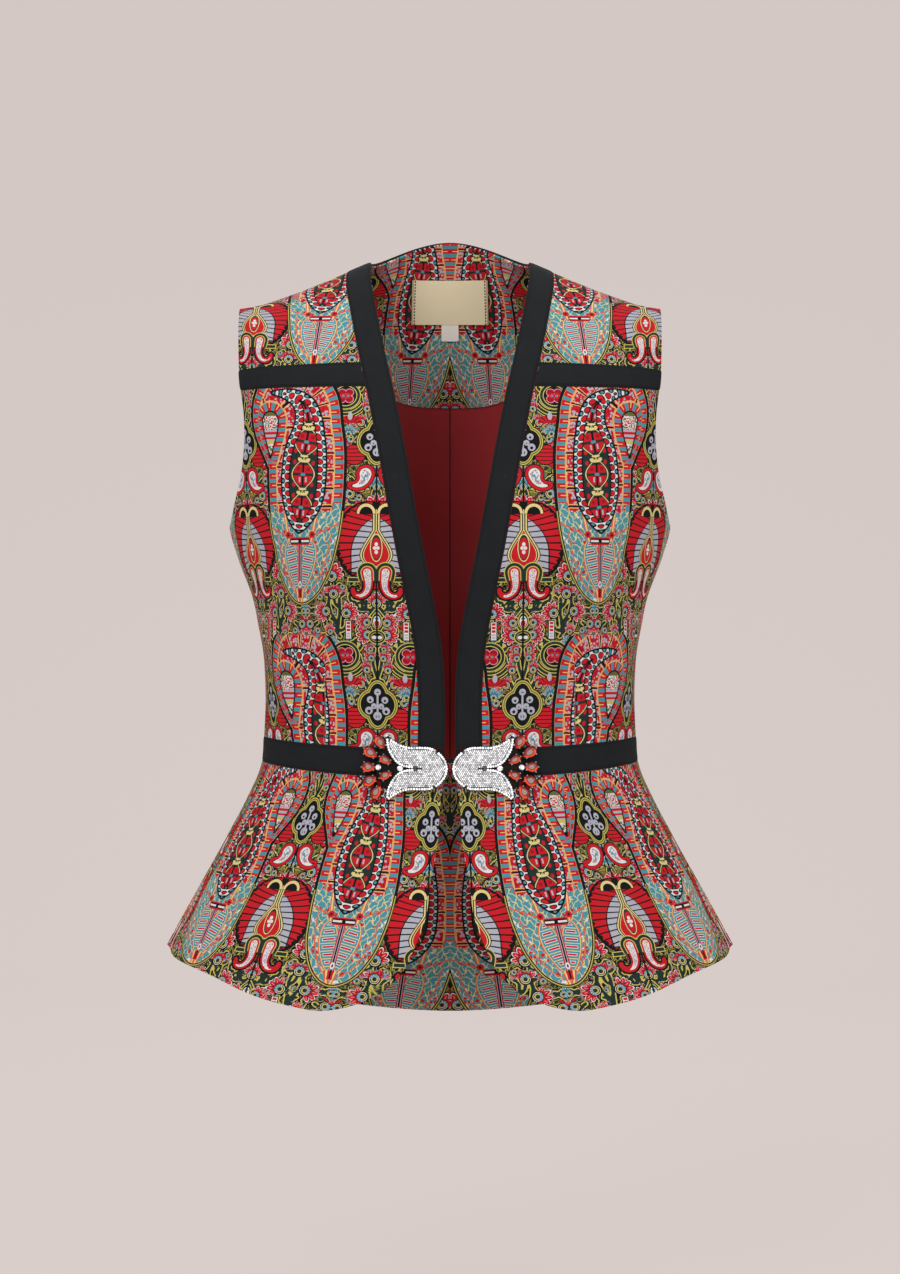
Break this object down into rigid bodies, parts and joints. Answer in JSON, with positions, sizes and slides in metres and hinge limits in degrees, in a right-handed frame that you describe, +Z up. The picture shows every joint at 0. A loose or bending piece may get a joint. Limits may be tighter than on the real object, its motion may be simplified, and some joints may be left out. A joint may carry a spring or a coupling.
{
  "type": "waistcoat",
  "caption": "Sleeveless V-neck peplum waistcoat in paisley brocade with black tape trims, a lined back and a jewelled front clasp, filled out as worn.",
  "frame": {"origin": "where the wearer's shoulders hold it: midway between the two neck points of the shoulder seams", "axes": "+Z up towards the head, -Y out of the front of the garment, +X towards the wearer's left"},
  "size_m": [0.442, 0.2781, 0.6268],
  "materials": {
    "brocade": "woven jacquard with a paisley figure on black",
    "tape": "matt black tape",
    "lining": "burgundy lining with a soft sheen",
    "label": "bare woven label",
    "pave": "silver set with small clear stones",
    "gunmetal": "dark plated metal",
    "amber": "clear amber red stone",
    "crystal": "clear faceted stone"
  },
  "bodies": {
    "root": {"back_left": "brocade", "back_lining_left": "lining", "back_lining_right": "lining", "back_neck_facing_left": "brocade", "back_neck_facing_right": "brocade", "back_right": "brocade", "clasp_fan_left": "gunmetal", "clasp_fan_right": "gunmetal", "clasp_hook": "gunmetal", "clasp_plate_left": "pave", "clasp_plate_right": "pave", "front_left": "brocade", "front_right": "brocade", "front_yoke_left": "brocade", "front_yoke_right": "brocade", "neck_band_left": "tape", "neck_band_right": "tape", "neck_label": "label", "peplum_back_left": "brocade", "peplum_back_right": "brocade", "peplum_front_left": "brocade", "peplum_front_right": "brocade", "size_tab": "label", "teardrop_1_left": "amber", "teardrop_1_right": "amber", "teardrop_2_left": "amber", "teardrop_2_right": "amber", "teardrop_3_left": "amber", "teardrop_3_right": "amber", "teardrop_4_left": "amber", "teardrop_4_right": "amber", "teardrop_5_left": "amber", "teardrop_5_right": "amber", "teardrop_6_left": "amber", "teardrop_6_right": "amber", "teardrop_7_left": "amber", "teardrop_7_right": "amber", "waistband_back": "tape", "waistband_front_left": "tape", "waistband_front_right": "tape", "white_stone_1_left": "crystal", "white_stone_1_right": "crystal", "white_stone_2_left": "crystal", "white_stone_2_right": "crystal", "yoke_tape_left": "tape", "yoke_tape_right": "tape"}
  },
  "joints": []
}
